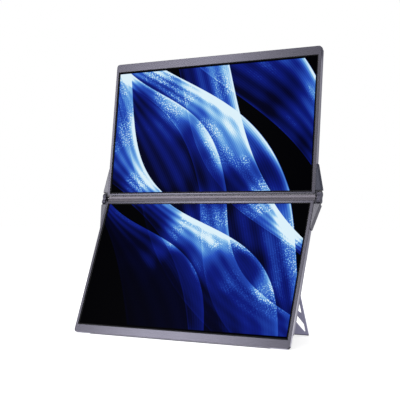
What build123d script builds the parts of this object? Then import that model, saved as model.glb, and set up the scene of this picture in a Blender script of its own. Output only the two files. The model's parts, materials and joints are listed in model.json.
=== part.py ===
from build123d import *
import math
import os

# A dual-screen portable monitor: two like display units on a dual-axis hinge, and a plate
# kickstand behind the lower one. Lengths are in millimetres, angles in degrees.
# A display unit is drawn in its own frame: x along the hinge, y away from its hinge axis and
# z out of the screen, with the axis at y = 0 and z = 0. The spine has the same directions,
# with y = 0 halfway between the two axes.

# How the units stand: each one's lean back from upright.
upper_lean = 7.43
lower_lean = 23.27

# Display unit, outside.
panel_width = 359.0
panel_height = 216.0
upper_end_gap = 2.0
lower_end_gap = 19.0
housing_depth = 5.4
housing_inset = 0.3
far_corner_radius = 5.0
hinge_corner_radius = 2.5
slab_edge_round = 0.7
housing_edge_round = 1.2

# Screen stack, from the front lip back to the mid plate.
side_bezel = 5.2
far_bezel = 12.9
hinge_bezel = 3.7
glass_overlap = 1.6
stack_clearance = 0.2
lip_thickness = 0.7
glass_thickness = 1.3
diffuser_thickness = 0.3
guide_thickness = 1.1
plate_thickness = 0.6
led_strip_width = 3.0

# Back cover.
cover_wall = 1.2
cover_floor = 1.0
post_radius = 2.6
post_near_inset = 48.5
post_far_inset = 11.75
post_side_inset = 8.85
post_board_gap = 8.0
corner_boss_width = 11.0
corner_boss_start = 6.0

# Fasteners of the covers and hinge leaves.
screw_radius = 0.95
screw_clearance = 0.1
screw_head_radius = 1.8
screw_head_thickness = 0.7
screw_head_recess = 0.15
leaf_screw_length = 8.0
leaf_screw_level = -1.2
leaf_screw_shares = (0.42, 0.66, 0.9)

# Boards, sockets and speakers.
board_thickness = 1.0
main_board_width = 48.0
main_board_length = 60.0
board_setback = 0.4
board_bracket_gap = 3.0
driver_board_length = 220.0
driver_board_width = 20.0
driver_board_inset = 19.9
socket_setback = 0.2
socket_clearance = 0.2
socket_wall = 0.3
socket_corner_share = 0.45
usb_width = 8.94
usb_height = 3.16
usb_length = 7.35
usb_tongue_width = 6.7
usb_tongue_thickness = 0.7
usb_tongue_length = 4.4
usb_pitch = 17.0
usb_hdmi_pitch = 20.0
hdmi_width = 11.2
hdmi_height = 3.16
hdmi_length = 7.5
hdmi_tongue_width = 8.2
hdmi_corner = 1.1
hdmi_board_inset = 17.0
speaker_length = 38.0
speaker_width = 12.0
speaker_depth = 3.4
speaker_boss_gap = 25.0
speaker_start = 12.0
grille_slot_length = 9.0
grille_slot_width = 1.2
grille_slot_pitch = 3.2
grille_slot_count = 9

# Buttons on the side of each unit.
button_rocker_pitch = 19.0
button_length = 6.0
button_height = 2.4
button_proud = 0.5
button_clearance = 0.2
button_flange = 0.6
button_flange_depth = 0.8
button_stem = 1.6
button_stem_depth = 1.2
button_seat_gap = 0.05
button_travel = 0.5
switch_gap = 0.1
switch_depth = 1.2
switch_width = 3.0
rocker_far_inset = 39.9
rocker_length = 14.0
rocker_clearance = 0.3
rocker_inset = 0.4
rocker_press_share = 0.32
rocker_neck = 1.8
rocker_pin_radius = 0.5
rocker_pin_length = 0.6
rocker_pin_depth = 2.0
pin_clearance = 0.05
lug_thickness = 0.7
lug_width = 2.8
lug_gap = 0.1
bracket_plate = 1.0
bracket_margin = 3.0

# Dual-axis hinge, the same at both ends.
axis_half_pitch = 4.6
axis_depth = 4.3
edge_setback = 0.9
leaf_thickness = 3.0
leaf_half_width = 2.5
leaf_reach = 30.0
knuckle_radius = 3.0
neck_gap = 0.4
neck_half_width = 2.4
neck_end_inset = 0.6
shaft_radius = 2.0
shaft_end_gap = 0.3
running_clearance = 0.03
seat_clearance = 0.02
block_gap = 0.4
block_width = 4.9
barrel_radius = 4.4
block_web_depth = 6.8
cap_thickness = 1.0
cap_edge_round = 0.7
pocket_radius = 3.4
pocket_depth = 2.9
washer_radius = 3.2
washer_thickness = 0.45
washer_clearance = 0.08
washer_gap = 0.05
washer_count = 2
nut_radius = 3.1
nut_thickness = 1.2
ear_gap = 1.8
ear_reach = 44.0
ear_shoulder = 1.0
ear_tip = 1.1
ear_front_setback = 0.8
ear_back_setback = 0.5
ear_edge_round = 0.9
ear_pocket_clearance = 0.2

# Spine bar between the units.
spine_clearance = 0.4
spine_end_gap = 0.5
spine_crown = 0.2
spine_groove_depth = 0.8
spine_edge_round = 0.8
tongue_thickness = 2.4
tongue_depth = 2.6
tongue_length = 18.0
tongue_cover = 0.9
tongue_clearance = 0.05
spine_screw_radius = 0.75
spine_screw_length = 3.2
spine_screw_head_radius = 1.3
spine_screw_head = 0.4
spine_screw_shares = (0.35, 0.8)

# Kickstand.
stand_pivot_place = 56.0
stand_pivot_offset = 3.0
stand_end_gap = 0.4
stand_side_gap = 34.0
stand_thickness = 2.2
stand_gap = 0.5
stand_start = 3.4
stand_foot_corner = 1.5
stand_top_corner = 8.0
stand_knuckle_radius = 2.6
stand_knuckle_length = 14.0
stand_knuckle_gap = 0.3
stand_pin_radius = 1.25
window_corner = 1.6
window_corner_share = 0.62
low_window_shares = ((0.976, 0.039), (0.976, 0.127), (0.901, 0.2475), (0.81, 0.2475), (0.958, 0.039))
mid_window_shares = ((0.974, 0.229), (0.974, 0.462), (0.838, 0.3455))
window_mirror_share = 0.3455
bracket_side_inset = 54.5
bracket_knuckle_length = 8.0
bracket_length = 10.4
bracket_thickness = 1.2
bracket_screw_spread = 11.0
bracket_screw_radius = 0.95
bracket_screw_head = 1.7

# Rubber feet, cut level with the table.
foot_strip_length = 300.0
foot_strip_height = 2.2
foot_strip_depth = 1.5
foot_strip_proud = 0.9
foot_flat_cut = 0.6
stand_foot_height = 1.6
stand_flat_cut = 0.4

# How far every cutting tool runs past the face that it cuts.
overrun = 1.0

# Levels and edges that follow from the sizes above.
slab_depth = lip_thickness + glass_thickness + diffuser_thickness + guide_thickness + plate_thickness
half_width = panel_width / 2
front = axis_depth
glass_front = front - lip_thickness
glass_back = glass_front - glass_thickness
diffuser_back = glass_back - diffuser_thickness
guide_back = diffuser_back - guide_thickness
slab_back = front - slab_depth
back = slab_back - housing_depth
floor_inside = back + cover_floor
far_edge = edge_setback + panel_height
window_half = half_width - side_bezel
window_near = edge_setback + hinge_bezel
window_far = far_edge - far_bezel
cavity_half = window_half + glass_overlap
cavity_near = window_near - glass_overlap
cavity_far = window_far + glass_overlap
cover_half = half_width - housing_inset
cover_near = edge_setback + housing_inset
cover_far = far_edge - lower_end_gap
wall_inside = cover_half - cover_wall
speaker_place = wall_inside - corner_boss_width - speaker_boss_gap - speaker_length / 2
socket_top = slab_back - board_thickness
button_level = socket_top - usb_height / 2
rocker_place = cover_far - rocker_far_inset
button_place = rocker_place - button_rocker_pitch
bracket_near = button_place - button_length / 2 - bracket_margin
bracket_far = rocker_place + rocker_length / 2 + bracket_margin
main_board_end = bracket_near - board_bracket_gap
hdmi_place = main_board_end - hdmi_board_inset
usb_places = (hdmi_place - usb_hdmi_pitch - usb_pitch, hdmi_place - usb_hdmi_pitch)
leaf_outer = half_width + leaf_thickness
block_inner = leaf_outer + block_gap
cap_inner = block_inner + block_width
cap_outer = cap_inner + cap_thickness
ear_near = barrel_radius + ear_gap
stand_half = half_width - stand_side_gap
bracket_place = stand_half - bracket_side_inset
stand_length = far_edge - stand_end_gap - stand_pivot_place
stand_pivot_level = back - stand_pivot_offset
stand_inner = stand_pivot_offset - stand_gap
stand_outer = stand_inner - stand_thickness


def brick(x_low, x_high, y_low, y_high, z_low, z_high):
    middle = Pos((x_low + x_high) / 2, (y_low + y_high) / 2, (z_low + z_high) / 2)
    return middle * Box(x_high - x_low, y_high - y_low, z_high - z_low)


def along_x(x_low, x_high, sketch):
    return extrude(Plane.YZ.offset(x_low) * sketch, x_high - x_low)


def along_z(z_low, z_high, sketch):
    return extrude(Plane.XY.offset(z_low) * sketch, z_high - z_low)


def rod_x(x_low, x_high, y, z, radius):
    return along_x(x_low, x_high, Pos(y, z) * Circle(radius))


def rod_z(z_low, z_high, x, y, radius):
    return along_z(z_low, z_high, Pos(x, y) * Circle(radius))


def to_side(shape, sign):
    return shape if sign > 0 else shape.mirror(Plane.YZ)


def both_sides(shape):
    return Compound(children=[to_side(shape, sign) for sign in (1, -1)])


# Display unit: slab and screen stack.


def panel_face(half, y_low, y_high):
    face = Pos(0, (y_low + y_high) / 2) * Rectangle(2 * half, y_high - y_low)
    face = fillet(face.vertices().group_by(Axis.Y)[-1], far_corner_radius)
    return fillet(face.vertices().group_by(Axis.Y)[0], hinge_corner_radius)


def foot_strip():
    half = foot_strip_length / 2
    return brick(-half, half, far_edge - foot_strip_height, far_edge + foot_strip_proud,
                 slab_back, slab_back + foot_strip_depth)


def front_frame():
    slab = along_z(slab_back, front, panel_face(half_width, edge_setback, far_edge))
    slab = fillet(slab.faces().sort_by(Axis.Z)[-1].edges(), slab_edge_round)
    window = brick(-window_half, window_half, window_near, window_far, slab_back, front + overrun)
    cavity = brick(-cavity_half, cavity_half, cavity_near, cavity_far, slab_back - overrun, glass_front)
    return slab - window - cavity


def sheet(y_low, y_high, z_low, z_high):
    half = cavity_half - stack_clearance
    return brick(-half, half, y_low + stack_clearance, y_high - stack_clearance, z_low, z_high)


def mid_plate():
    plate = sheet(cavity_near, cavity_far, slab_back, guide_back)
    for x, y in cover_screw_places():
        plate -= rod_z(slab_back, guide_back, x, y, screw_radius + screw_clearance)
    return plate


# Display unit: back cover.


def cover_screw_places():
    near_column = wall_inside - board_setback - main_board_width - post_board_gap
    far_column = wall_inside - post_side_inset
    near = [(sign * near_column, cover_near + post_near_inset) for sign in (-1, 0, 1)]
    far = [(sign * far_column, cover_far - post_far_inset) for sign in (-1, 0, 1)]
    return near + far


def bracket_screw_places():
    y = stand_pivot_place - stand_start - bracket_length / 2
    middles = (-bracket_place, bracket_place)
    return [(x + sign * bracket_screw_spread, y) for x in middles for sign in (-1, 1)]


def leaf_screw_rows():
    return [share * leaf_reach for share in leaf_screw_shares]


def cover_shell(end_gap):
    shell_far = far_edge - end_gap
    shell = along_z(back, slab_back, panel_face(cover_half, cover_near, shell_far))
    shell = fillet(shell.faces().sort_by(Axis.Z)[0].edges(), housing_edge_round)
    length = shell_far - cover_near - 2 * cover_wall
    inside = Pos(0, (cover_near + shell_far) / 2)
    inside = inside * RectangleRounded(2 * wall_inside, length, far_corner_radius - cover_wall)
    return shell - along_z(floor_inside, slab_back + overrun, inside)


def back_cover(port_sign, with_stand, end_gap):
    cover = cover_shell(end_gap)
    for x, y in cover_screw_places():
        cover += rod_z(floor_inside, slab_back, x, y, post_radius)
    boss_end = leaf_reach + post_radius
    boss = brick(wall_inside - corner_boss_width, wall_inside, corner_boss_start, boss_end,
                 floor_inside, slab_back)
    cover += boss
    cover += to_side(boss, -1)
    if with_stand:
        for x, y in bracket_screw_places():
            cover += rod_z(floor_inside, slab_back, x, y, post_radius)
    hole = screw_radius + screw_clearance
    for x, y in cover_screw_places():
        cover -= rod_z(back, slab_back, x, y, hole)
        cover -= rod_z(back, back + screw_head_thickness + screw_head_recess, x, y,
                       screw_head_radius + screw_clearance)
    for y in leaf_screw_rows():
        bore = rod_x(half_width - leaf_screw_length, half_width, y, leaf_screw_level, hole)
        cover -= bore
        cover -= to_side(bore, -1)
    if with_stand:
        for x, y in bracket_screw_places():
            cover -= rod_z(back, slab_back, x, y, bracket_screw_radius + screw_clearance)
    for sign in (1, -1):
        cover -= grille_slots(sign)
    return cover - to_side(side_openings(), port_sign)


def grille_slots(sign):
    y = speaker_start + speaker_width / 2
    start = speaker_place - grille_slot_pitch * (grille_slot_count - 1) / 2
    slots = [Pos(sign * (start + index * grille_slot_pitch), y)
             * Rectangle(grille_slot_width, grille_slot_length) for index in range(grille_slot_count)]
    return Compound(children=[along_z(back, floor_inside, slot) for slot in slots])


def side_openings():
    grow = 2 * socket_clearance
    sketches = [Pos(y, button_level) * usb_outline(usb_width + grow, usb_height + grow) for y in usb_places]
    sketches.append(Pos(hdmi_place, button_level) * hdmi_outline(hdmi_width + grow, hdmi_height + grow))
    grow = 2 * button_clearance
    sketches.append(Pos(button_place, button_level) * pill(button_length + grow, button_height + grow))
    grow = 2 * rocker_clearance
    sketches.append(Pos(rocker_place, button_level) * pill(rocker_length + grow, button_height + grow))
    return Compound(children=[along_x(wall_inside, cover_half, sketch) for sketch in sketches])


# Display unit: boards, sockets and speakers.


def main_board():
    x_high = wall_inside - board_setback
    y_low = main_board_end - main_board_length
    return brick(x_high - main_board_width, x_high, y_low, main_board_end, socket_top, slab_back)


def driver_board():
    half = driver_board_length / 2
    y_high = cover_far - driver_board_inset
    return brick(-half, half, y_high - driver_board_width, y_high, socket_top, slab_back)


def usb_outline(width, height):
    return RectangleRounded(width, height, socket_corner_share * height)


def hdmi_outline(width, height):
    face = Rectangle(width, height)
    return chamfer(face.vertices().group_by(Axis.Y)[0], hdmi_corner)


def pill(length, height):
    return SlotOverall(length, height)


def socket(outline, width, height, length, tongue_width):
    x_high = cover_half - socket_setback
    x_low = x_high - length
    shell = along_x(x_low, x_high, outline(width, height))
    mouth = outline(width - 2 * socket_wall, height - 2 * socket_wall)
    shell -= along_x(x_low + socket_wall + overrun, x_high, mouth)
    tongue = Rectangle(tongue_width, usb_tongue_thickness)
    return shell + along_x(x_low + socket_wall, x_low + socket_wall + overrun + usb_tongue_length, tongue)


def usb_c_sockets():
    one = socket(usb_outline, usb_width, usb_height, usb_length, usb_tongue_width)
    return Compound(children=[Pos(0, y, button_level) * one for y in usb_places])


def hdmi_socket():
    one = socket(hdmi_outline, hdmi_width, hdmi_height, hdmi_length, hdmi_tongue_width)
    return Pos(0, hdmi_place, button_level) * one


def speakers():
    half = speaker_length / 2
    one = brick(speaker_place - half, speaker_place + half, speaker_start, speaker_start + speaker_width,
                floor_inside, floor_inside + speaker_depth)
    return both_sides(one)


# Display unit: buttons and the bracket that carries them.


def power_button():
    outer = cover_half + button_proud
    flange_top = wall_inside - button_seat_gap
    flange_low = flange_top - button_flange_depth
    body = along_x(flange_low, outer, pill(button_length, button_height))
    grow = 2 * button_flange
    body += along_x(flange_low, flange_top, pill(button_length + grow, button_height + grow))
    body += along_x(flange_low - button_stem_depth, flange_low, Rectangle(button_stem, button_stem))
    return Pos(0, button_place, button_level) * body


def rocker_axis():
    return wall_inside - rocker_inset - rocker_pin_depth


def switch_face():
    return wall_inside - button_seat_gap - button_flange_depth - button_stem_depth - button_travel - switch_gap


def menu_rocker():
    outer = cover_half + button_proud
    inner = wall_inside - rocker_inset
    axis = rocker_axis()
    body = along_x(inner, outer, pill(rocker_length, button_height))
    body += brick(axis - rocker_neck / 2, inner, -rocker_neck / 2, rocker_neck / 2,
                  -rocker_neck / 2, rocker_neck / 2)
    pin_half = rocker_neck / 2 + rocker_pin_length
    body += rod_z(-pin_half, pin_half, axis, 0, rocker_pin_radius)
    press = rocker_press_share * rocker_length
    for side in (1, -1):
        low = switch_face() + button_travel + switch_gap
        body += along_x(low, inner, Pos(side * press, 0) * Rectangle(button_stem, button_stem))
    return Pos(0, rocker_place, button_level) * body


def button_bracket():
    face = switch_face() - switch_depth
    plate_low = face - bracket_plate
    bracket = brick(plate_low, face, bracket_near, bracket_far, floor_inside + stack_clearance, slab_back)
    press = rocker_press_share * rocker_length
    for y in (button_place, rocker_place - press, rocker_place + press):
        bracket += along_x(face, switch_face(), Pos(y, button_level) * Rectangle(switch_width, button_height))
    lug_inner = rocker_neck / 2 + lug_gap
    axis = rocker_axis()
    for side in (1, -1):
        levels = sorted((button_level + side * lug_inner, button_level + side * (lug_inner + lug_thickness)))
        lug = brick(plate_low, axis + lug_width / 2, rocker_place - lug_width / 2,
                    rocker_place + lug_width / 2, *levels)
        bracket += lug - rod_z(*levels, axis, rocker_place, rocker_pin_radius + pin_clearance)
    return bracket


# Screws.


def cover_screws():
    head_low = back + screw_head_recess
    screws = []
    for x, y in cover_screw_places():
        screw = rod_z(head_low, guide_back, x, y, screw_radius)
        screws.append(screw + rod_z(head_low, head_low + screw_head_thickness, x, y, screw_head_radius))
    return Compound(children=screws)


def leaf_screws():
    screws = []
    for y in leaf_screw_rows():
        outer = leaf_outer - screw_head_recess
        screw = rod_x(half_width - leaf_screw_length, outer, y, leaf_screw_level, screw_radius)
        screw += rod_x(outer - screw_head_thickness, outer, y, leaf_screw_level, leaf_head_radius())
        screws += [screw, to_side(screw, -1)]
    return Compound(children=screws)


def leaf_head_radius():
    return leaf_half_width + leaf_screw_level - screw_clearance


def bracket_screws():
    seat = back - bracket_thickness
    low = seat - screw_head_thickness
    screws = []
    for x, y in bracket_screw_places():
        screw = rod_z(low, slab_back, x, y, bracket_screw_radius)
        screws.append(screw + rod_z(low, seat, x, y, bracket_screw_head))
    return Compound(children=screws)


# Hinge pieces that turn with a display unit, drawn for the +x end.


def hinge_leaf():
    bar = Pos(leaf_reach / 2, 0) * Rectangle(leaf_reach, 2 * leaf_half_width)
    bar = fillet(bar.vertices().group_by(Axis.X)[-1], leaf_half_width / 2)
    leaf = along_x(half_width, leaf_outer, bar + Circle(knuckle_radius))
    leaf += brick(half_width, cap_outer - neck_end_inset, barrel_radius + neck_gap, ear_near,
                  -neck_half_width, neck_half_width)
    leaf -= rod_x(half_width, leaf_outer, 0, 0, shaft_radius + seat_clearance)
    for y in leaf_screw_rows():
        head_depth = screw_head_thickness + screw_head_recess
        leaf -= rod_x(half_width, leaf_outer, y, leaf_screw_level, screw_radius + screw_clearance)
        leaf -= rod_x(leaf_outer - head_depth, leaf_outer, y, leaf_screw_level,
                      leaf_head_radius() + screw_clearance / 2)
    return leaf


def hinge_ear():
    tip = half_width + ear_tip
    outline = Polyline((half_width, ear_near), (cap_outer, ear_near), (cap_outer, ear_near + ear_shoulder),
                       (tip, ear_reach), (half_width, ear_reach), close=True)
    ear = along_z(back + ear_back_setback, front - ear_front_setback, make_face(outline))
    outer_faces = ear.faces().filter_by(Axis.Z, reverse=True).sort_by(Axis.X)[-2:]
    ear = fillet(outer_faces.edges().filter_by(Axis.Z, reverse=True), ear_edge_round)
    half = leaf_half_width + ear_pocket_clearance
    return ear - brick(half_width, leaf_outer + ear_pocket_clearance, ear_near - overrun,
                       leaf_reach + ear_pocket_clearance, -half, half)


def hinge_shaft():
    return rod_x(half_width, cap_inner - shaft_end_gap, 0, 0, shaft_radius)


def washer_seat():
    return cap_inner - pocket_depth


def shaft_nut():
    low = washer_seat() + washer_count * (washer_thickness + washer_gap)
    nut = along_x(low, low + nut_thickness, RegularPolygon(nut_radius, side_count=6))
    return nut - rod_x(low, low + nut_thickness, 0, 0, shaft_radius + seat_clearance)


# Spine: bar, blocks, caps, washers and screws.


def stadium():
    body = Rectangle(2 * axis_half_pitch, block_web_depth)
    for side in (1, -1):
        body += Pos(side * axis_half_pitch, 0) * Circle(barrel_radius)
    return body


def tongue(clearance):
    half = tongue_thickness / 2 + clearance
    low = back + tongue_cover
    return brick(half_width - spine_end_gap - tongue_length - clearance, block_inner, -half, half,
                 low - clearance, low + tongue_depth + clearance)


def hinge_block():
    block = along_x(block_inner, cap_inner, stadium()) + tongue(0)
    for side in (1, -1):
        y = side * axis_half_pitch
        block -= rod_x(block_inner, cap_inner, y, 0, shaft_radius + running_clearance)
        block -= rod_x(washer_seat(), cap_inner, y, 0, pocket_radius)
    for x in spine_screw_places():
        block -= rod_z(back, back + spine_screw_length + spine_screw_head, x, 0,
                       spine_screw_radius + seat_clearance)
    return block


def hinge_cap():
    cap = along_x(cap_inner, cap_outer, stadium())
    return fillet(cap.faces().sort_by(Axis.X)[-1].edges(), cap_edge_round)


def friction_washers():
    step = washer_thickness + washer_gap
    rings = []
    for side in (1, -1):
        y = side * axis_half_pitch
        for index in range(washer_count):
            low = washer_seat() + index * step
            ring = rod_x(low, low + washer_thickness, y, 0, washer_radius)
            rings.append(ring - rod_x(low, low + washer_thickness, y, 0, shaft_radius + washer_clearance))
    return Compound(children=rings + [to_side(ring, -1) for ring in rings])


def spine_half_height():
    return axis_half_pitch + edge_setback - spine_clearance


def spine_screw_places():
    end = half_width - spine_end_gap
    return [end - share * tongue_length for share in spine_screw_shares]


def spine_bar():
    half = spine_half_height()
    top = edge_setback - spine_clearance
    edge = top - spine_crown
    groove = top - spine_groove_depth
    outline = [Polyline((half, edge), (half, back), (-half, back), (-half, edge))]
    for side in (1, -1):
        outline.append(ThreePointArc((0, groove), (side * half / 2, top), (side * half, edge)))
    end = half_width - spine_end_gap
    bar = along_x(-end, end, make_face(outline))
    bar = fillet(bar.faces().sort_by(Axis.Z)[0].edges().filter_by(Axis.X), spine_edge_round)
    for sign in (1, -1):
        bar -= to_side(tongue(tongue_clearance), sign)
        for x in spine_screw_places():
            bar -= rod_z(back, back + tongue_cover, sign * x, 0, spine_screw_radius + screw_clearance)
            bar -= rod_z(back, back + spine_screw_head, sign * x, 0,
                         spine_screw_head_radius + screw_clearance)
    return bar


def spine_screws():
    screws = []
    for x in spine_screw_places():
        screw = rod_z(back, back + spine_screw_length, x, 0, spine_screw_radius)
        screw += rod_z(back, back + spine_screw_head, x, 0, spine_screw_head_radius)
        screws += [screw, to_side(screw, -1)]
    return Compound(children=screws)


# Kickstand, drawn folded: y along the leg from its pivot, z towards the unit's back.


def window_face(points):
    face = make_face(Polyline(*points, close=True))
    shortest = min(edge.length for edge in face.edges())
    return fillet(face.vertices(), min(window_corner, window_corner_share * shortest))


def stand_windows():
    low = [(x * stand_half, stand_length * (1 - y)) for x, y in low_window_shares]
    middle = [(x * stand_half, stand_length * (1 - y)) for x, y in mid_window_shares]
    axis = stand_length * (1 - window_mirror_share)
    high = [(x, 2 * axis - y) for x, y in low]
    return [window_face(points) for points in (low, middle, high)]


def stand_plate():
    y_high = stand_length - stand_foot_height
    face = Pos(0, (stand_start + y_high) / 2) * Rectangle(2 * stand_half, y_high - stand_start)
    face = fillet(face.vertices().group_by(Axis.Y)[0], stand_top_corner)
    plate = along_z(stand_outer, stand_inner, face)
    for window in stand_windows():
        cut = along_z(stand_outer, stand_inner, window)
        plate -= cut
        plate -= to_side(cut, -1)
    half = stand_knuckle_length / 2
    for x in (-bracket_place, bracket_place):
        plate += brick(x - half, x + half, 0, stand_start, stand_outer, stand_inner)
        plate += rod_x(x - half, x + half, 0, 0, stand_knuckle_radius)
        plate -= rod_x(x - half, x + half, 0, 0, stand_pin_radius + running_clearance)
    return plate


def stand_foot():
    return brick(-stand_half, stand_half, stand_length - stand_foot_height, stand_length,
                 stand_outer, stand_inner)


def stand_bracket(x):
    gap = stand_knuckle_length / 2 + stand_knuckle_gap
    end = gap + bracket_knuckle_length
    base_low = -stand_start - bracket_length
    bracket = brick(x - end, x + end, base_low, -stand_start,
                    stand_pivot_offset - bracket_thickness, stand_pivot_offset)
    for side in (1, -1):
        ends = sorted((x + side * gap, x + side * end))
        bracket += brick(*ends, -stand_start, 0, 0, stand_pivot_offset)
        bracket += rod_x(*ends, 0, 0, stand_knuckle_radius)
        bracket -= rod_x(*ends, 0, 0, stand_pin_radius + seat_clearance)
    for place, y in bracket_screw_places():
        bracket -= rod_z(0, stand_pivot_offset, place, y - stand_pivot_place,
                         bracket_screw_radius + screw_clearance)
    return bracket


def stand_pin(x):
    half = stand_knuckle_length / 2 + stand_knuckle_gap + bracket_knuckle_length
    return rod_x(x - half, x + half, 0, 0, stand_pin_radius)


# Putting the pieces together.


def display_unit(port_sign, sides, with_stand, end_gap):
    pieces = {
        "front_frame": front_frame(),
        "lcd_glass": sheet(cavity_near, cavity_far, glass_back, glass_front),
        "diffuser_sheet": sheet(cavity_near, cavity_far, diffuser_back, glass_back),
        "light_guide": sheet(cavity_near + led_strip_width, cavity_far, guide_back, diffuser_back),
        "led_strip": sheet(cavity_near, cavity_near + led_strip_width, guide_back, diffuser_back),
        "mid_plate": mid_plate(),
        "back_cover": back_cover(port_sign, with_stand, end_gap),
        "driver_board": driver_board(),
        "main_board": to_side(main_board(), port_sign),
        "usb_c_sockets": to_side(usb_c_sockets(), port_sign),
        "hdmi_socket": to_side(hdmi_socket(), port_sign),
        "speakers": speakers(),
        "button_bracket": to_side(button_bracket(), port_sign),
        "power_button": to_side(power_button(), port_sign),
        "menu_rocker": to_side(menu_rocker(), port_sign),
        "cover_screws": cover_screws(),
        "leaf_screws": leaf_screws(),
        "hinge_shafts": both_sides(hinge_shaft()),
        "shaft_nuts": both_sides(shaft_nut()),
    }
    for sign, side in zip((1, -1), sides):
        pieces["hinge_leaf_" + side] = to_side(hinge_leaf(), sign)
        pieces["hinge_ear_" + side] = to_side(hinge_ear(), sign)
    return pieces


def unit_plane(origin, lean, x_sign):
    tilt = math.radians(lean)
    return Plane(origin, x_dir=(x_sign, 0, 0), z_dir=(0, -math.cos(tilt), math.sin(tilt)))


def stand_opening(table_drop):
    lean = math.radians(lower_lean)
    pivot_drop = stand_pivot_place * math.cos(lean) - stand_pivot_level * math.sin(lean)
    reach = math.hypot(stand_length, stand_inner)
    swing = math.acos((table_drop + stand_flat_cut - pivot_drop) / reach)
    return lower_lean + math.degrees(swing + math.atan2(stand_inner, stand_length))


spine_lean = (upper_lean + lower_lean) / 2
spine_plane = unit_plane((0, 0, 0), spine_lean, 1)
upper_axis = spine_plane.from_local_coords((0, axis_half_pitch, 0))
lower_axis = spine_plane.from_local_coords((0, -axis_half_pitch, 0))
upper_place = unit_plane(upper_axis, upper_lean, 1).location
lower_place = unit_plane(lower_axis, lower_lean, -1).location
spine_place = spine_plane.location

lower_tilt = math.radians(lower_lean)
foot_end = far_edge + foot_strip_proud
table_drop = foot_end * math.cos(lower_tilt) - slab_back * math.sin(lower_tilt) - foot_flat_cut
table_level = lower_axis.Z - table_drop
opening = stand_opening(table_drop)
pivot_place = lower_place * Pos(0, stand_pivot_place, stand_pivot_level)
stand_place = pivot_place * Rot(-opening, 0, 0)
under_table = Pos(0, 0, table_level - panel_height / 2) * Box(2 * panel_width, 2 * panel_height, panel_height)

parts = {}
for name, shape in display_unit(-1, ("right", "left"), False, upper_end_gap).items():
    parts["upper_" + name] = upper_place * shape
lower_pieces = display_unit(1, ("left", "right"), True, lower_end_gap)
lower_pieces["front_frame"] -= foot_strip()
for name, shape in lower_pieces.items():
    parts["lower_" + name] = lower_place * shape
parts["lower_foot_strip"] = lower_place * foot_strip() - under_table
parts["spine_bar"] = spine_place * spine_bar()
parts["hinge_block_right"] = spine_place * hinge_block()
parts["hinge_block_left"] = spine_place * to_side(hinge_block(), -1)
parts["hinge_caps"] = spine_place * both_sides(hinge_cap())
parts["friction_washers"] = spine_place * friction_washers()
parts["spine_screws"] = spine_place * spine_screws()
parts["stand_plate"] = stand_place * stand_plate()
parts["stand_foot_strip"] = stand_place * stand_foot() - under_table
bracket_pair = [stand_bracket(x) for x in (-bracket_place, bracket_place)]
pin_pair = [stand_pin(x) for x in (-bracket_place, bracket_place)]
parts["stand_brackets"] = pivot_place * Compound(children=bracket_pair)
parts["stand_pins"] = pivot_place * Compound(children=pin_pair)
parts["bracket_screws"] = lower_place * bracket_screws()

# The origin goes to the middle of the footprint, on the table.
boxes = [shape.bounding_box() for shape in parts.values()]
y_middle = (min(box.min.Y for box in boxes) + max(box.max.Y for box in boxes)) / 2
to_origin = Pos(0, -y_middle, -min(box.min.Z for box in boxes))

os.makedirs("parts", exist_ok=True)
for name, shape in parts.items():
    export_step(Compound((to_origin * shape).solids()), f"parts/{name}.step")

print("nodes", len(parts), "stand opening", opening)
print("upper axis", to_origin * Pos(upper_axis))
print("lower axis", to_origin * Pos(lower_axis))
print("stand pivot", to_origin * pivot_place)
rockers = ((upper_place, -1, "upper"), (lower_place, 1, "lower"))
for place, sign, name in rockers:
    print(name, "rocker pivot", to_origin * place * Pos(sign * rocker_axis(), rocker_place, button_level))
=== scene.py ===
import json
import math

import bmesh
import bpy
from mathutils import Matrix, Vector


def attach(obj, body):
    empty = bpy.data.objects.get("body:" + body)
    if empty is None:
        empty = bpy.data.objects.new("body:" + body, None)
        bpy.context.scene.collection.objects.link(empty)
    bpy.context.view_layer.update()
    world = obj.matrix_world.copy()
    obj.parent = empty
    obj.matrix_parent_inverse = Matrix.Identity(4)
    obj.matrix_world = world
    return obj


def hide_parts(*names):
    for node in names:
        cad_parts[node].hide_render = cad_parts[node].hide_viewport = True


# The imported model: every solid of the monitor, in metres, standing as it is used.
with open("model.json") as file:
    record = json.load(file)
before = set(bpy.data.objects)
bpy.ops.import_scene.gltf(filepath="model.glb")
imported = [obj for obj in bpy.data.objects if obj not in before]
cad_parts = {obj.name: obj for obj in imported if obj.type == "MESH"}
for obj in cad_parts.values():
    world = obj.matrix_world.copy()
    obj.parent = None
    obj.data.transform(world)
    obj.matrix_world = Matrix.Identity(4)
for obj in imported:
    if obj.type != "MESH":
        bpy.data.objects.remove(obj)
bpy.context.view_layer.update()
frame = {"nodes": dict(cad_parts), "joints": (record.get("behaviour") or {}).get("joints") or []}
nodes = frame["nodes"]


# Front frames: a milled aluminium slab round each screen, bead blasted and anodised purple
# grey. The front is dark, the sides are lighter by painted light, and a black rim lines the window.


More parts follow.
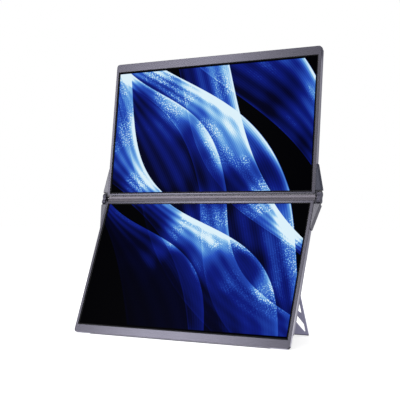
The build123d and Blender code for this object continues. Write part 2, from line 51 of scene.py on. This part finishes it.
class Shade:
    """A value in a material. Python's operators on it add Math nodes."""

    def __init__(self, tree, socket):
        self.tree = tree
        self.socket = socket

    def add(self, kind, settings=None, inputs=None, output=0):
        node = self.tree.nodes.new(kind)
        for name, value in (settings or {}).items():
            if name == "stops":
                ramp = node.color_ramp.elements
                while len(ramp) < len(value):
                    ramp.new(1.0)
                for stop, (place, colour) in zip(ramp, value):
                    stop.position = place
                    stop.color = (*colour, 1.0)
            else:
                setattr(node, name, value)
        for name, value in (inputs or {}).items():
            if isinstance(value, Shade):
                self.tree.links.new(value.socket, node.inputs[name])
            else:
                node.inputs[name].default_value = value
        return Shade(self.tree, node.outputs[output])

    def math(self, operation, *others):
        values = dict(enumerate((self, *others)))
        return self.add("ShaderNodeMath", {"operation": operation}, values)

    def __add__(self, other):
        return self.math("ADD", other)

    __radd__ = __add__

    def __sub__(self, other):
        return self.math("SUBTRACT", other)

    def __rsub__(self, other):
        return self * -1.0 + other

    def __mul__(self, other):
        return self.math("MULTIPLY", other)

    __rmul__ = __mul__

    def __truediv__(self, other):
        return self.math("DIVIDE", other)

    def __rtruediv__(self, other):
        return self ** -1.0 * other

    def __pow__(self, other):
        return self.math("POWER", other)

    def size(self):
        return self.math("ABSOLUTE")

    def least(self, other):
        return self.math("MINIMUM", other)

    def most(self, other):
        return self.math("MAXIMUM", other)

    def between(self, low, high):
        limits = {"Value": self, "From Min": low, "From Max": high}
        return self.add("ShaderNodeMapRange", {"interpolation_type": "SMOOTHSTEP"}, limits)

    def noise(self, scale, detail=2.0):
        inputs = {"Vector": self, "Scale": scale, "Detail": detail}
        return self.add("ShaderNodeTexNoise", inputs=inputs)

    def cells(self, scale, randomness=1.0, **settings):
        inputs = {"Vector": self, "Scale": scale, "Randomness": randomness}
        return self.add("ShaderNodeTexVoronoi", settings, inputs)

    def stretched(self, scale):
        return self.add("ShaderNodeMapping", inputs={"Vector": self, "Scale": scale})

    def ramp(self, *stops):
        return self.add("ShaderNodeValToRGB", {"stops": stops}, {"Fac": self})

    def blend(self, below, above):
        factor, first, second, colour = 0, 6, 7, 2
        inputs = {factor: self, first: below, second: above}
        return self.add("ShaderNodeMix", {"data_type": "RGBA"}, inputs, colour)

    def bump(self, strength, depth):
        inputs = {"Height": self, "Strength": strength, "Distance": depth}
        return self.add("ShaderNodeBump", inputs=inputs)


def new_finish(name):
    finish = bpy.data.materials.new(name)
    finish.use_nodes = True
    tree = finish.node_tree
    shader = tree.nodes["Principled BSDF"]
    place = tree.nodes.new("ShaderNodeTexCoord")
    return finish, shader, Shade(tree, place.outputs["Object"])


def plug_in(shader, values):
    for name, value in values.items():
        if isinstance(value, Shade):
            value.tree.links.new(value.socket, shader.inputs[name])
        else:
            shader.inputs[name].default_value = value


noise_low = 0.3
noise_high = 0.7


def tinted(shade, colour, spread):
    low = [part * (1 - spread) for part in colour]
    high = [part * (1 + spread) for part in colour]
    return shade.ramp((noise_low, low), (noise_high, high))


def about(shade, middle, spread):
    return shade * spread + (middle - spread / 2)


blast_scale = 2600.0
blast_strength = 0.03
blast_depth = 0.00003
cloud_scale = 22.0
cloud_share = 0.7
dye_spread = 0.06
polish_spread = 0.05
metal_share = 0.92
glancing_tint = (0.5, 0.5, 0.55, 1.0)


def anodised(name, colour, roughness, layers=()):
    finish, shader, place = new_finish(name)
    grain = place.noise(blast_scale, detail=3.0)
    tone = place.noise(cloud_scale) * cloud_share + grain * (1 - cloud_share)
    dye_and_painted_light = tinted(tone, colour, dye_spread)
    # Layers lay print, such as the black window rim, and painted light and shade over the dye.
    for zone, layer_colour in layers:
        dye_and_painted_light = zone(place).blend(dye_and_painted_light, tinted(tone, layer_colour, dye_spread))
    plug_in(shader, {
        "Base Color": dye_and_painted_light,
        "Metallic": metal_share,
        "Roughness": about(grain, roughness, polish_spread),
        "Specular Tint": glancing_tint,
        "Normal": grain.bump(blast_strength, blast_depth),
    })
    return finish


def dress(finish, *names):
    for name in names:
        nodes[name].data.materials.clear()
        nodes[name].data.materials.append(finish)


def dress_both(finish, *names):
    dress(finish, *(unit + "_" + name for unit in ("upper", "lower") for name in names))


leans = {"upper": math.radians(7.43), "lower": math.radians(23.27)}
axis_points = {joint["name"]: Vector(joint["pos_m"])
               for joint in frame["joints"] if "pos_m" in joint}
frame_half = 0.1795
frame_far = 0.2169
frame_colour = (0.068, 0.0655, 0.083)
frame_roughness = 0.27

# The sides carry painted light, which grows from the hinge to the far end; on the upper unit
# painted shade darkens it again at the far end.
# Places along a unit are distances from its hinge axis.
pale_tone_and_painted_light = (0.48, 0.47, 0.54)
side_start = 0.0004
side_full = 0.0001
painted_light_start = 0.05
painted_light_end = {"upper": 0.190, "lower": 0.1975}
painted_shade_end = 0.205
painted_shade_share = {"upper": 1.0, "lower": 0.0}
hinge_painted_light = {"upper": 0.48, "lower": 0.15}
far_painted_light = {"upper": 0.50, "lower": 1.0}

rim_black = (0.004, 0.004, 0.005)
rim_left = 0.1754
rim_right = 0.1748
rim_near = {"upper": 0.0035, "lower": 0.0046}
rim_far = {"upper": 0.2040, "lower": 0.2050}
rim_blur = 0.0001


def height_above(place, origin, lean):
    up = (0.0, math.sin(lean), math.cos(lean))
    offset = place.add("ShaderNodeVectorMath", {"operation": "SUBTRACT"}, {0: place, 1: origin})
    product = {"operation": "DOT_PRODUCT"}
    return place.add("ShaderNodeVectorMath", product, {0: offset, 1: up}, "Value")


def places(place, unit):
    across = place.add("ShaderNodeSeparateXYZ", inputs={"Vector": place}, output="X")
    return across, height_above(place, axis_points[unit + "_hinge"], leans[unit])


# Painted light: a lighter colour on each unit's sides and far end face stands in for light falling
# on them there.
def side_painted_light(unit, elsewhere):
    def zone(place):
        across, height = places(place, unit)
        away = height.size()
        side = across.size().between(frame_half - side_start, frame_half - side_full)
        side = side.most(away.between(frame_far - side_start, frame_far - side_full))
        rise = far_painted_light[unit] - hinge_painted_light[unit]
        lightness = away.between(painted_light_start, painted_light_end[unit]) * rise + hinge_painted_light[unit]
        lightness = lightness * (1.0 - away.between(painted_light_end[unit], painted_shade_end) * painted_shade_share[unit])
        return side * (lightness - elsewhere) + elsewhere
    return zone


def window_rim(unit):
    def zone(place):
        across, height = places(place, unit)
        away = height.size()
        sides = (across + rim_left).least(rim_right - across)
        ends = (away - rim_near[unit]).least(rim_far[unit] - away)
        return sides.least(ends).between(-rim_blur, rim_blur)
    return zone


for unit in leans:
    layers = ((side_painted_light(unit, elsewhere=0.0), pale_tone_and_painted_light), (window_rim(unit), rim_black))
    finish = anodised(unit + " frame's anodised aluminium", frame_colour, frame_roughness, layers)
    dress(finish, unit + "_front_frame")


# Backlight: white diffuser film over an acrylic light guide, which a strip of light-emitting
# diodes lights from its edge. Film and guide lie loose between the glass and the mid plate.

diffuser, shader, place = new_finish("white diffuser film")
fibre_scale = 900.0
fibre = place.noise(fibre_scale, detail=4.0)
plug_in(shader, {
    "Base Color": tinted(fibre, (0.82, 0.83, 0.85), spread=0.05),
    "Roughness": about(fibre, middle=0.65, spread=0.2),
})
dress_both(diffuser, "diffuser_sheet")

acrylic, shader, place = new_finish("dotted clear acrylic")
dot_pitch = 0.0022
dot_edge = (0.25, 0.32)
dot_roughness = 0.58
clear_roughness = 0.08
dots = 1.0 - place.cells(1 / dot_pitch, randomness=0.1).between(*dot_edge)
plug_in(shader, {
    "Base Color": dots.ramp((0.0, (0.62, 0.70, 0.74)), (1.0, (0.86, 0.88, 0.88))),
    "Roughness": dots * (dot_roughness - clear_roughness) + clear_roughness,
    "Coat Weight": 0.5,
})
dress_both(acrylic, "light_guide")

diode_strip, shader, place = new_finish("diode strip")
diode_pitch = 0.006
diode_edge = (0.1, 0.2)
diode_roughness = 0.3
strip_roughness = 0.6
along = place.add("ShaderNodeSeparateXYZ", inputs={"Vector": place}, output="X")
diode = (along * (2 * math.pi / diode_pitch)).math("COSINE").between(*diode_edge)
plug_in(shader, {
    "Base Color": diode.ramp((0.0, (0.70, 0.68, 0.58)), (1.0, (0.80, 0.62, 0.12))),
    "Roughness": diode * (diode_roughness - strip_roughness) + strip_roughness,
})
dress_both(diode_strip, "led_strip")


# Screens: liquid-crystal panels under a black-edged, anti-glare glass. Both show one abstract
# picture that runs across the hinge: veils of blue silk and drops of light, on black.

active_half = 0.1721
active_near = 0.0055
active_far = 0.2006
edge_blur = 0.0005
flow_turn = math.radians(128.0)
silk_colours = (
    (0.0, (0.0, 0.0, 0.0005)),
    (0.10, (0.0006, 0.001, 0.016)),
    (0.26, (0.004, 0.011, 0.20)),
    (0.46, (0.020, 0.080, 0.50)),
    (0.66, (0.090, 0.28, 0.70)),
    (0.84, (0.29, 0.57, 0.85)),
    (1.0, (0.72, 0.88, 0.96)),
)
# Each veil lies between two waves, given by rise, swing, radians per metre and phase,
# and has its own number of strands and its own strength.
silk_veils = (
    ((-0.020, 0.040, 11.0, 0.3), (0.075, 0.052, 9.0, 1.6), 34.0, 1.00),
    ((-0.120, 0.036, 10.0, 2.0), (-0.015, 0.046, 12.5, 3.6), 30.0, 1.00),
    ((0.060, 0.034, 12.0, 4.4), (0.140, 0.050, 8.0, 5.3), 26.0, 0.90),
    ((-0.190, 0.030, 9.0, 0.9), (-0.100, 0.040, 14.0, 2.9), 28.0, 0.60),
    ((0.125, 0.036, 9.0, 2.2), (0.215, 0.030, 11.0, 0.8), 32.0, 0.95),
    ((-0.055, 0.050, 7.0, 5.0), (0.030, 0.030, 15.0, 0.4), 40.0, 0.75),
)
veil_overlap = 0.45
veil_width = 0.075
veil_pinch = 0.024
veil_gain = 1.1
veil_edge_share = 0.012
body_floor = 0.16
body_power = 1.2
strand_depth = 0.18
strand_sway = 6.0
strand_sway_rate = 5.0
threads_a_strand = 7.0
thread_depth = 0.08
bright_hem = 0.55
bright_hem_fall = 26.0
faint_hem = 0.22
faint_hem_fall = 60.0
shine_scale = 9.0
shine_climb = 0.8
shine_edge = (0.37, 0.64)
shine_gain = 0.9
shine_floor = 0.42
drop_scale = 330.0
drop_size_scale = 90.0
drop_size = 0.58
drop_blur = 0.10
drop_glow_edge = (0.15, 0.6)
drop_patch_scale = 17.0
drop_patch_edge = (0.44, 0.58)
drop_strength = 0.36


def wave(flow, rise, swing, rate, phase):
    return (flow * rate + phase).math("SINE") * swing + rise


def ripple(turn, depth):
    return turn.math("SINE") * depth + (1 - depth)


def veil(flow, aside, near, far, strands):
    start = wave(flow, *near)
    width = wave(flow, *far) - start
    share = (aside - start) / width
    inside = share.between(0.0, veil_edge_share) * (1.0 - share).between(0.0, veil_edge_share)
    across = share.most(0.0).least(1.0)
    body = across ** body_power * (1 - body_floor) + body_floor
    sway = (flow * strand_sway_rate).math("SINE") * strand_sway
    weave = ripple(across * strands + sway, strand_depth)
    weave = weave * ripple(across * (strands * threads_a_strand), thread_depth)
    hem = ((across - 1.0) * bright_hem_fall).math("EXPONENT") * bright_hem
    hem = hem + (across * -faint_hem_fall).math("EXPONENT") * faint_hem
    pinch = veil_width / (width.size() + veil_pinch)
    return (body * weave * pinch * veil_gain + hem).least(1.0) * inside


def picture(place, unit):
    across, height = places(place, unit)
    flow = across * math.cos(flow_turn) + height * math.sin(flow_turn)
    aside = across * math.sin(flow_turn) - height * math.cos(flow_turn)
    glow = across * 0.0
    for near, far, strands, strength in silk_veils:
        glow = glow + veil(flow, aside, near, far, strands) * strength * (1.0 - glow * veil_overlap)
    flat = place.add("ShaderNodeCombineXYZ", inputs={"X": across, "Y": height})
    shine = (flat.noise(shine_scale, detail=1.0) + height * shine_climb).between(*shine_edge)
    glow = glow * (shine * shine_gain + shine_floor)
    size = flat.noise(drop_size_scale, detail=1.0) * drop_size
    drops = (size - flat.cells(drop_scale, voronoi_dimensions="2D")).between(0.0, drop_blur)
    patches = flat.noise(drop_patch_scale, detail=1.0).between(*drop_patch_edge)
    glow = glow + drops * glow.between(*drop_glow_edge) * patches * drop_strength
    away = height.size()
    edge = (active_half - across.size()).least(active_far - away).least(away - active_near)
    return glow * edge.between(0.0, edge_blur)


for unit in leans:
    finish, shader, place = new_finish(unit + " lit screen")
    plug_in(shader, {
        "Base Color": (0.0004, 0.0004, 0.0006, 1.0),
        "Roughness": 0.30,
        "Specular IOR Level": 0.004,
        "Emission Color": picture(place, unit).ramp(*silk_colours),
        "Emission Strength": 1.0,
    })
    dress(finish, unit + "_lcd_glass")


# Window trims: the frame's inner edge is cut to a black chamfer, and a black rubber lip
# closes the joint between it and the glass.

window_half = 0.1743
window_near = 0.0046
window_far = 0.2040
frame_front = 0.0043
glass_front = 0.0036
chamfer = 0.00045
lip_width = 0.0005
lip_height = 0.00022
seat_overlap = 0.00002
smooth_angle = math.radians(35)


def facing(lean):
    across = Vector((1.0, 0.0, 0.0))
    up = Vector((0.0, math.sin(lean), math.cos(lean)))
    return Matrix((across, up, across.cross(up))).transposed().to_4x4()


def unit_place(unit):
    return Matrix.Translation(axis_points[unit + "_hinge"]) @ facing(leans[unit])


def make_piece(bm, name, body, finish):
    mesh = bpy.data.meshes.new(name)
    bmesh.ops.recalc_face_normals(bm, faces=bm.faces)
    bm.to_mesh(mesh)
    bm.free()
    mesh.shade_smooth()
    mesh.set_sharp_from_angle(angle=smooth_angle)
    mesh.materials.append(finish)
    piece = bpy.data.objects.new(name, mesh)
    bpy.context.scene.collection.objects.link(piece)
    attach(piece, body)
    return piece


def skin(bm, loops, closed):
    pairs = list(zip(loops, loops[1:]))
    if closed:
        pairs.append((loops[-1], loops[0]))
    for first, second in pairs:
        bmesh.ops.bridge_loops(bm, edges=first + second)


def edges_of(verts):
    return list(dict.fromkeys(edge for vert in verts for edge in vert.link_edges))


def rectangle_loop(bm, half_width, half_height, level):
    corner = math.sqrt(2.0)
    ring = bmesh.ops.create_circle(bm, segments=4, radius=corner, cap_ends=False)["verts"]
    bmesh.ops.rotate(bm, verts=ring, matrix=Matrix.Rotation(math.pi / 4, 3, "Z"))
    bmesh.ops.scale(bm, verts=ring, vec=(half_width, half_height, 1.0))
    bmesh.ops.translate(bm, verts=ring, vec=(0.0, 0.0, level))
    return edges_of(ring)


def window_ring(name, unit, section, finish):
    bm = bmesh.new()
    half_height = (window_far - window_near) / 2
    loops = [rectangle_loop(bm, window_half - inset, half_height - inset, level)
             for inset, level in section]
    skin(bm, loops, closed=True)
    side = 1 if unit == "upper" else -1
    middle = Matrix.Translation((0.0, side * (window_far + window_near) / 2, 0.0))
    bmesh.ops.transform(bm, matrix=unit_place(unit) @ middle, verts=bm.verts)
    make_piece(bm, name, unit + "_display", finish)


mottle_scale = 40.0
mottle_share = 0.5
mould_strength = 0.3


def moulded(name, colour, roughness, grain_scale, depth):
    finish, shader, place = new_finish(name)
    grain = place.noise(grain_scale, detail=3.0)
    tone = place.noise(mottle_scale) * mottle_share + grain * (1 - mottle_share)
    plug_in(shader, {
        "Base Color": tinted(tone, colour, spread=0.18),
        "Roughness": about(grain, roughness, spread=0.2),
        "Specular IOR Level": 0.3,
        "Normal": grain.bump(mould_strength, depth),
    })
    return finish


def rubber(name, colour):
    return moulded(name, colour, roughness=0.75, grain_scale=3000.0, depth=0.00005)


trim_top = frame_front - seat_overlap
trim_section = (
    (0.0, trim_top),
    (chamfer, trim_top - chamfer),
    (chamfer, glass_front),
    (0.0, glass_front),
)
lip_top = glass_front + lip_height
lip_end = chamfer + lip_width
lip_section = (
    (chamfer, glass_front),
    (chamfer, lip_top),
    (lip_end - lip_height, lip_top),
    (lip_end, glass_front),
)
black_edge = anodised("black anodised window edge", rim_black, roughness=0.30)
black_rubber = rubber("matt black rubber", (0.012, 0.012, 0.013))
for unit in leans:
    window_ring(unit + "_window_trim", unit, trim_section, black_edge)
    window_ring(unit + "_screen_lip", unit, lip_section, black_rubber)


# Mid plates: bare aluminium sheet that closes each slab from behind. It is brushed along the
# hinge, and shows past the end of each back cover.

stain_scale = 30.0
stroke_share = 0.7
stroke_strength = 0.12
stroke_depth = 0.00003


def brushed(name, colour, roughness, lines):
    finish, shader, place = new_finish(name)
    strokes = place.stretched(lines).noise(1.0, detail=3.0)
    tone = strokes * stroke_share + place.noise(stain_scale) * (1 - stroke_share)
    plug_in(shader, {
        "Base Color": tinted(tone, colour, spread=0.14),
        "Metallic": 1.0,
        "Roughness": about(strokes, roughness, spread=0.16),
        "Normal": strokes.bump(stroke_strength, stroke_depth),
    })
    return finish


brushed_sheet = brushed("brushed aluminium sheet", (0.13, 0.127, 0.155), roughness=0.38,
                        lines=(14.0, 2400.0, 2400.0))
dress_both(brushed_sheet, "mid_plate")


# Boards: green solder mask over copper tracks on glass fibre. The driver board lies along the
# edge of the panel, and the main board carries the sockets at the side.

board_green, shader, place = new_finish("green solder mask")
track_scale = 250.0
track_stretch = (1.0, 2.6, 2.6)
track_edge = (0.05, 0.09)
pad_scale = 312.5
pad_edge = (0.16, 0.20)
pad_gold = (0.72, 0.52, 0.18, 1.0)
pad_metal = 0.9
mask_roughness = 0.42
track_roughness = 0.34
copper_strength = 0.3
copper_depth = 0.00003
tracks = place.stretched(track_stretch).cells(track_scale, feature="DISTANCE_TO_EDGE")
track = 1.0 - tracks.between(*track_edge)
pad = 1.0 - place.cells(pad_scale, randomness=0.6).between(*pad_edge)
mask_green = track.ramp((0.0, (0.008, 0.070, 0.028)), (1.0, (0.020, 0.150, 0.062)))
plug_in(shader, {
    "Base Color": pad.blend(mask_green, pad_gold),
    "Metallic": pad * pad_metal,
    "Roughness": track * (track_roughness - mask_roughness) + mask_roughness,
    "Normal": (track + pad).bump(copper_strength, copper_depth),
})
dress_both(board_green, "main_board", "driver_board")


# Sockets: drawn steel shells, nickel plated, soldered to the main board. Each tongue carries
# a row of gold contacts above and below.

nickel = brushed("nickel plated steel", (0.56, 0.55, 0.54), roughness=0.26,
                 lines=(900.0, 300.0, 300.0))
dress_both(nickel, "usb_c_sockets", "hdmi_socket")
gold = brushed("gold plated contacts", (0.86, 0.62, 0.22), roughness=0.24,
               lines=(1500.0, 400.0, 400.0))
small_socket_contacts = 12
wide_socket_contacts = 15
contact_pitch = 0.0005
contact_width = 0.00026
contact_length = 0.0032
contact_proud = 0.00004
tongue_half = 0.00035
tongue_tip = 0.0019
weld_distance = 1e-6


def loose_parts(node):
    bm = bmesh.new()
    bm.from_mesh(nodes[node].data)
    bmesh.ops.remove_doubles(bm, verts=bm.verts, dist=weld_distance)
    taken = set()
    parts = []
    for start in bm.verts:
        if start in taken:
            continue
        taken.add(start)
        reached = [start]
        for vert in reached:
            for edge in vert.link_edges:
                other = edge.other_vert(vert)
                if other not in taken:
                    taken.add(other)
                    reached.append(other)
        parts.append([vert.co.copy() for vert in reached])
    bm.free()
    return parts


def spans(points, place):
    local = [place.inverted() @ point for point in points]
    return [(min(values), max(values)) for values in zip(*local)]


def bar(bm, size, place, edge_round):
    made = bmesh.ops.create_cube(bm, size=1.0)["verts"]
    bmesh.ops.scale(bm, verts=made, vec=size)
    bmesh.ops.transform(bm, verts=made, matrix=place)
    bmesh.ops.bevel(bm, geom=edges_of(made), offset=edge_round, affect="EDGES", segments=2,
                    profile=0.5, material=-1)


def contacts(unit, node, count):
    bm = bmesh.new()
    place = unit_place(unit)
    size = (contact_length, contact_width, 2 * contact_proud)
    for points in loose_parts(node):
        (mouth, _), (low, high), (under, over) = spans(points, place)
        x = mouth + tongue_tip + contact_length / 2
        for number in range(count):
            y = (low + high) / 2 + (number - (count - 1) / 2) * contact_pitch
            for side in (1, -1):
                spot = (x, y, (under + over) / 2 + side * tongue_half)
                bar(bm, size, place @ Matrix.Translation(spot), contact_proud / 2)
    make_piece(bm, node + "_contacts", unit + "_display", gold)


for unit in leans:
    contacts(unit, unit + "_usb_c_sockets", small_socket_contacts)
    contacts(unit, unit + "_hdmi_socket", wide_socket_contacts)


# Speakers: two flat boxes of black moulded plastic at the hinge side of each unit, heard
# through slots in the back cover. Their fronts show as a woven mesh behind the slots.

speaker_black, shader, place = new_finish("speaker mesh and plastic")
mesh_pitch = 0.0007
wire_edge = (0.30, 0.42)
wire_roughness = 0.55
hole_roughness = 0.75
wire_strength = 0.6
wire_depth = 0.0001
wire = place.cells(1 / mesh_pitch, randomness=0.0).between(*wire_edge)
plug_in(shader, {
    "Base Color": wire.ramp((0.0, (0.002, 0.002, 0.002)), (1.0, (0.045, 0.045, 0.050))),
    "Roughness": wire * (wire_roughness - hole_roughness) + hole_roughness,
    "Normal": wire.bump(wire_strength, wire_depth),
})
dress_both(speaker_black, "speakers")


# Buttons: a power button and a menu rocker in the side of each unit, milled from the same
# aluminium as the frame. They press on switches on a black moulded bracket.

button_grey = anodised("purple grey anodised buttons", (0.115, 0.111, 0.138), roughness=0.30)
dress_both(button_grey, "power_button", "menu_rocker")
black_plastic = moulded("black moulded plastic", (0.016, 0.016, 0.018), roughness=0.55,
                        grain_scale=1600.0, depth=0.00006)
dress_both(black_plastic, "button_bracket")


# Back covers: pressed aluminium trays, anodised a lighter purple grey than the frames.
# Six screws hold each one to the mid plate.

cover_roughness = 0.30
cover_lightness = 0.30
for unit in leans:
    # The covers' sides carry the same painted light as the frames' sides, over their own paler
    # tone.
    layers = ((side_painted_light(unit, elsewhere=cover_lightness), pale_tone_and_painted_light),)
    finish = anodised(unit + " cover's anodised aluminium", frame_colour, cover_roughness, layers)
    dress(finish, unit + "_back_cover")


# Screws: black oxide steel with a rounded head and a six-lobe drive. Every screw stands
# where its solid is, with the same head and length.

screw_steel = brushed("black oxide steel", (0.085, 0.085, 0.095), roughness=0.34,
                      lines=(1200.0, 1200.0, 1200.0))
rim_share = 0.18
lobe_reach_share = 0.50
lobe_depth_share = 0.16
lobe_count = 6
recess_share = 0.75
tip_share = 0.6
screw_segments = 48
head_edge_share = 0.95
tip_slack = 1e-5


def ring_loop(bm, radius, level, lobe=0.0):
    ring = bmesh.ops.create_circle(bm, segments=screw_segments, radius=radius,
                                   cap_ends=False)["verts"]
    for vert in ring:
        turn = math.atan2(vert.co.y, vert.co.x)
        swell = 1.0 + lobe * math.cos(lobe_count * turn)
        vert.co = (vert.co.x * swell, vert.co.y * swell, level)
    return edges_of(ring)


def screw(bm, place, length, shank, head, thickness):
    drive = head * lobe_reach_share
    rim = min(head * rim_share, thickness / 2)
    loops = [
        ring_loop(bm, shank * tip_share, -length),
        ring_loop(bm, shank, shank * tip_share - length),
        ring_loop(bm, shank, -thickness),
        ring_loop(bm, head, -thickness),
        ring_loop(bm, head, -rim),
        ring_loop(bm, head - rim / 3, -rim / 3),
        ring_loop(bm, head - rim, 0.0),
        ring_loop(bm, drive, 0.0, lobe_depth_share),
        ring_loop(bm, drive, -thickness * recess_share, lobe_depth_share),
    ]
    made = list(dict.fromkeys(vert for loop in loops for edge in loop for vert in edge.verts))
    skin(bm, loops, closed=False)
    for end in (loops[0], loops[-1]):
        bmesh.ops.edgeloop_fill(bm, edges=end)
    bmesh.ops.transform(bm, verts=made, matrix=place)


def screws(node, body, lean):
    bm = bmesh.new()
    turned = facing(lean) @ Matrix.Rotation(math.pi, 4, "X")
    for points in loose_parts(node):
        (west, east), (south, north), (tip, top) = spans(points, turned)
        middle = Vector(((west + east) / 2, (south + north) / 2, 0.0))
        local = [turned.inverted() @ point - middle for point in points]
        head = max(point.xy.length for point in local)
        under = min(point.z for point in local if point.xy.length > head_edge_share * head)
        shank = max(point.xy.length for point in local if point.z < tip + tip_slack)
        place = turned @ Matrix.Translation(middle + Vector((0.0, 0.0, top)))
        screw(bm, place, top - tip, shank, head, top - under)
    piece = make_piece(bm, node + "_turned", body, screw_steel)
    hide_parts(node)


hinge_line = axis_points["upper_hinge"] - axis_points["lower_hinge"]
spine_lean = math.atan2(hinge_line.y, hinge_line.z)
for unit, lean in leans.items():
    screws(unit + "_cover_screws", unit + "_display", lean)
screws("spine_screws", "spine", spine_lean)
screws("bracket_screws", "lower_display", leans["lower"])
dress_both(screw_steel, "leaf_screws")


# Hinges: steel leaves screwed to the covers' corners turn on steel shafts in die-cast blocks.
# Spring washers under the nuts give the friction. Aluminium ears, the upper right one of
# them darkened by painted shade, and caps cover the joints.

leaf_steel = brushed("dark phosphated steel", (0.035, 0.035, 0.042), roughness=0.42,
                     lines=(600.0, 600.0, 120.0))
dress_both(leaf_steel, "hinge_leaf_left", "hinge_leaf_right")
dress_both(nickel, "hinge_shafts", "shaft_nuts")
spring_steel = brushed("spring steel washers", (0.32, 0.30, 0.27), roughness=0.30,
                       lines=(200.0, 1400.0, 1400.0))
dress(spring_steel, "friction_washers")
# Painted shade: the upper right ear is coloured darker than the others, the same metal in shade.
painted_shade_ear_grey = anodised("grey anodised hinge ear with painted shade", (0.046, 0.048, 0.064), roughness=0.36)
dress(painted_shade_ear_grey, "upper_hinge_ear_right")
ear_grey = anodised("grey anodised hinge ears", (0.115, 0.114, 0.130), roughness=0.36)
dress(ear_grey, "lower_hinge_ear_left", "lower_hinge_ear_right", "upper_hinge_ear_left")
block_grey = anodised("dark grey hinge blocks", (0.060, 0.058, 0.078), roughness=0.34)
dress(block_grey, "hinge_block_left", "hinge_block_right")
cap_grey = anodised("grey hinge caps", (0.080, 0.079, 0.094), roughness=0.34)
dress(cap_grey, "hinge_caps")


# Spine bar: an extruded aluminium bar between the two hinge blocks, with a barrel for each
# unit and a groove between them. It is duller than the frames, and painted shade darkens it towards
# its foot.

spine_middle = (axis_points["upper_hinge"] + axis_points["lower_hinge"]) / 2
spine_half = 0.0051


def spine_painted_shade_rise(place):
    return height_above(place, spine_middle, spine_lean).between(-spine_half, spine_half)


# Painted shade: the spine's colour runs from a lit tone at its top to a shaded tone at its foot.
spine_painted_light_colour = (0.25, 0.231, 0.273)
spine_painted_shade_colour = (0.075, 0.069, 0.082)
spine_grey = anodised("purple grey anodised spine", spine_painted_shade_colour, roughness=0.55,
                      layers=((spine_painted_shade_rise, spine_painted_light_colour),))
dress(spine_grey, "spine_bar")


# Kickstand: an aluminium plate with slanted windows, on two steel pins in brackets that are
# screwed to the lower back cover. A black rubber strip under it and a grey one under the
# lower unit grip the table; the grey one is painted light on that unit's shaded bottom edge.

stand_grey = anodised("purple grey anodised stand", (0.250, 0.242, 0.340), roughness=0.36)
dress(stand_grey, "stand_plate")
bracket_grey = anodised("dark grey stand brackets", (0.090, 0.090, 0.120), roughness=0.40)
dress(bracket_grey, "stand_brackets")
dress(nickel, "stand_pins")
dress(black_rubber, "stand_foot_strip")
# Painted light: this strip is coloured light grey so that the shaded edge under the lower unit
# reads as lit.
painted_light_grey_rubber = rubber("matt grey rubber", (0.34, 0.33, 0.38))
dress(painted_light_grey_rubber, "lower_foot_strip")


# Studio: a white table top that keeps the shadow, soft lamps, and the camera in front of
# the right half of the monitor, a little below the hinge.

world = bpy.data.worlds.new("studio")
bpy.context.scene.world = world
world.use_nodes = True
sky = world.node_tree.nodes["Background"]
ambient = 0.40
table_white = 0.85
table_size = 12.0
seen_white = 1.01
white = (1.0, 1.0, 1.0, 1.0)


def seen_rays(tree):
    paths = tree.nodes.new("ShaderNodeLightPath").outputs
    camera_ray, glossy, clear = (
        Shade(tree, paths["Is " + kind + " Ray"]) for kind in ("Camera", "Glossy", "Transmission"))
    return camera_ray.most(glossy).most(clear)


plug_in(sky, {"Color": white, "Strength": seen_rays(world.node_tree) * (1.0 - ambient) + ambient})

bpy.ops.mesh.primitive_plane_add(size=table_size)
floor = bpy.context.object
floor.name = "studio_floor"
table, shader, place = new_finish("white table")
plug_in(shader, {
    "Base Color": (table_white, table_white, table_white, 1.0),
    "Roughness": 0.9,
    "Specular IOR Level": 0.0,
    "Emission Color": white,
    "Emission Strength": seen_rays(place.tree) * (seen_white - table_white * ambient),
})
floor.data.materials.append(table)

lamps_aim = Vector((0.0, 0.0, 0.2))


def lamp(name, spot, size, power):
    light = bpy.data.lights.new(name, "AREA")
    light.shape = "RECTANGLE"
    light.size, light.size_y = size
    light.energy = power
    holder = bpy.data.objects.new(name, light)
    holder.location = spot
    holder.rotation_euler = (lamps_aim - Vector(spot)).to_track_quat("-Z", "Y").to_euler()
    bpy.context.scene.collection.objects.link(holder)


lamp("key", spot=(-0.77, -1.10, 0.66), size=(0.42, 0.42), power=4.1)
lamp("middle key", spot=(-0.66, -1.06, 1.01), size=(0.30, 0.24), power=0.8)
lamp("high key", spot=(-0.79, -0.98, 1.34), size=(0.40, 0.26), power=2.9)
lamp("side", spot=(0.95, 1.35, 0.10), size=(0.80, 0.16), power=0.5)
lamp("top", spot=(0.0, -0.2, 1.6), size=(1.2, 0.8), power=6.0)
lamp("back", spot=(-0.6, 1.5, 0.9), size=(1.0, 0.8), power=5.0)

camera_sight = Vector((-0.49812, 0.86705, 0.00888))
camera_roll = -0.0014
camera = bpy.data.objects.new("camera", bpy.data.cameras.new("camera"))
camera.location = (0.6794, -1.1809, 0.1893)
level = camera_sight.to_track_quat("-Z", "Y").to_matrix()
camera.rotation_euler = (level @ Matrix.Rotation(camera_roll, 3, "Z")).to_euler()
camera.data.sensor_width = 36.0
camera.data.lens = 81.92
bpy.context.scene.collection.objects.link(camera)
bpy.context.scene.camera = camera
bpy.context.scene.view_settings.view_transform = "Standard"
